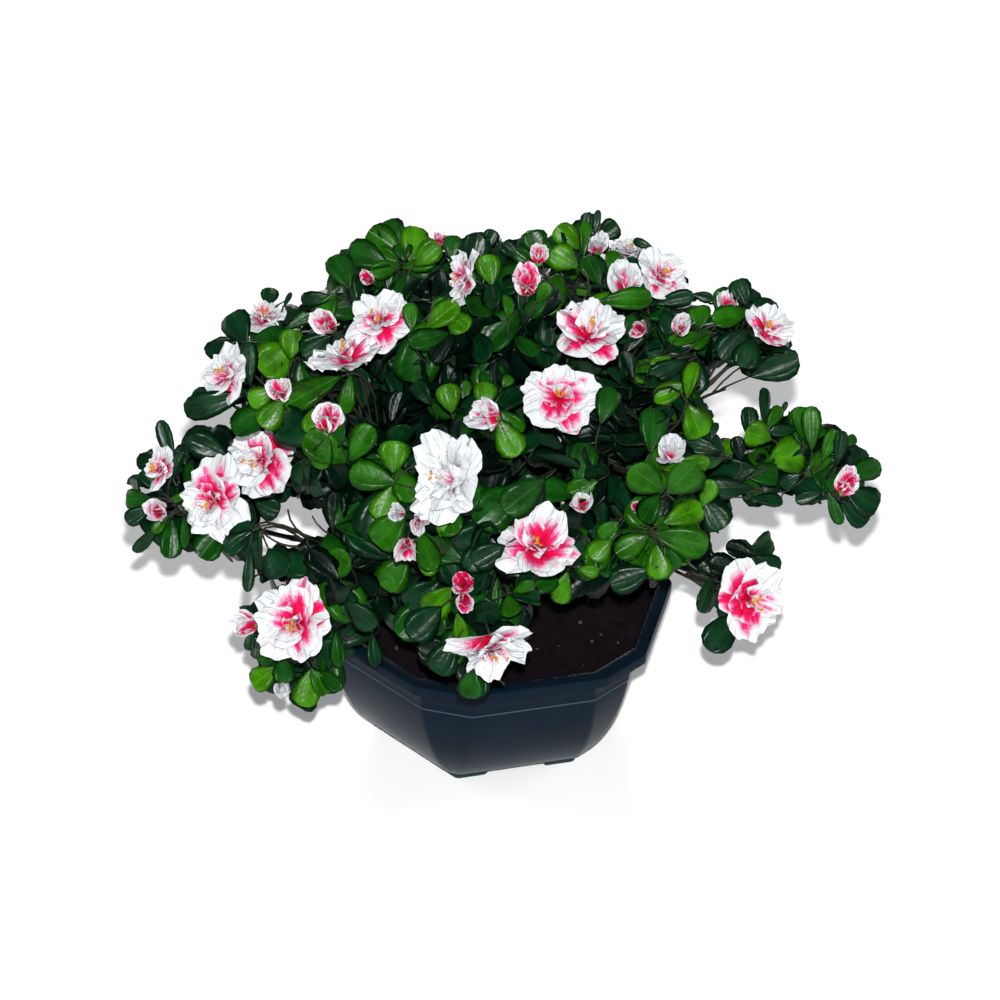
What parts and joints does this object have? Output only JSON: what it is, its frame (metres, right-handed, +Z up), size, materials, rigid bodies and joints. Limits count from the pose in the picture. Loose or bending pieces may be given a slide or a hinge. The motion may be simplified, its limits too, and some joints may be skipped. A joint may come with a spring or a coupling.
{
  "type": "artificial azalea bush in a pot",
  "caption": "Bushy artificial azalea with glossy rounded leaves and frilled white and pink blooms, standing in a dark six-sided plastic bowl pot.",
  "frame": {"origin": "on the ground under the middle of the pot, which is also the middle of the whole plant", "axes": "+Z up; -Y towards the side with the low front bloom that hangs over the rim; +X to the right of someone who faces that side"},
  "size_m": [0.5491, 0.4272, 0.3818],
  "materials": {
    "pot_plastic": "gloss",
    "soil": "matte",
    "bark": "matte",
    "leaves": "satin",
    "blossom": "matte",
    "stamens": "matte"
  },
  "bodies": {
    "root": {"pot": "pot_plastic", "soil": "soil", "stem": "bark", "bough_crown": "bark", "bough_upper_right": "bark", "bough_upper_back": "bark", "bough_upper_left": "bark", "bough_upper_front_left": "bark", "bough_upper_front": "bark", "bough_upper_front_right": "bark", "bough_lower_right": "bark", "bough_lower_back_right": "bark", "bough_lower_back": "bark", "bough_lower_back_left": "bark", "bough_lower_left": "bark", "bough_lower_front_left": "bark", "bough_lower_front": "bark", "bough_lower_front_right": "bark", "bough_tip_left": "bark", "bough_tip_low_left": "bark", "bough_tip_right": "bark", "bough_tip_low_right": "bark", "bough_tip_upper_right": "bark", "mass_crown": "leaves", "mass_upper_right": "leaves", "mass_upper_back": "leaves", "mass_upper_left": "leaves", "mass_upper_front_left": "leaves", "mass_upper_front": "leaves", "mass_upper_front_right": "leaves", "mass_lower_right": "leaves", "mass_lower_back_right": "leaves", "mass_lower_back": "leaves", "mass_lower_back_left": "leaves", "mass_lower_left": "leaves", "mass_lower_front_left": "leaves", "mass_lower_front": "leaves", "mass_lower_front_right": "leaves", "mass_tip_left": "leaves", "mass_tip_low_left": "leaves", "mass_tip_right": "leaves", "mass_tip_low_right": "leaves", "mass_tip_upper_right": "leaves"}
  },
  "joints": []
}
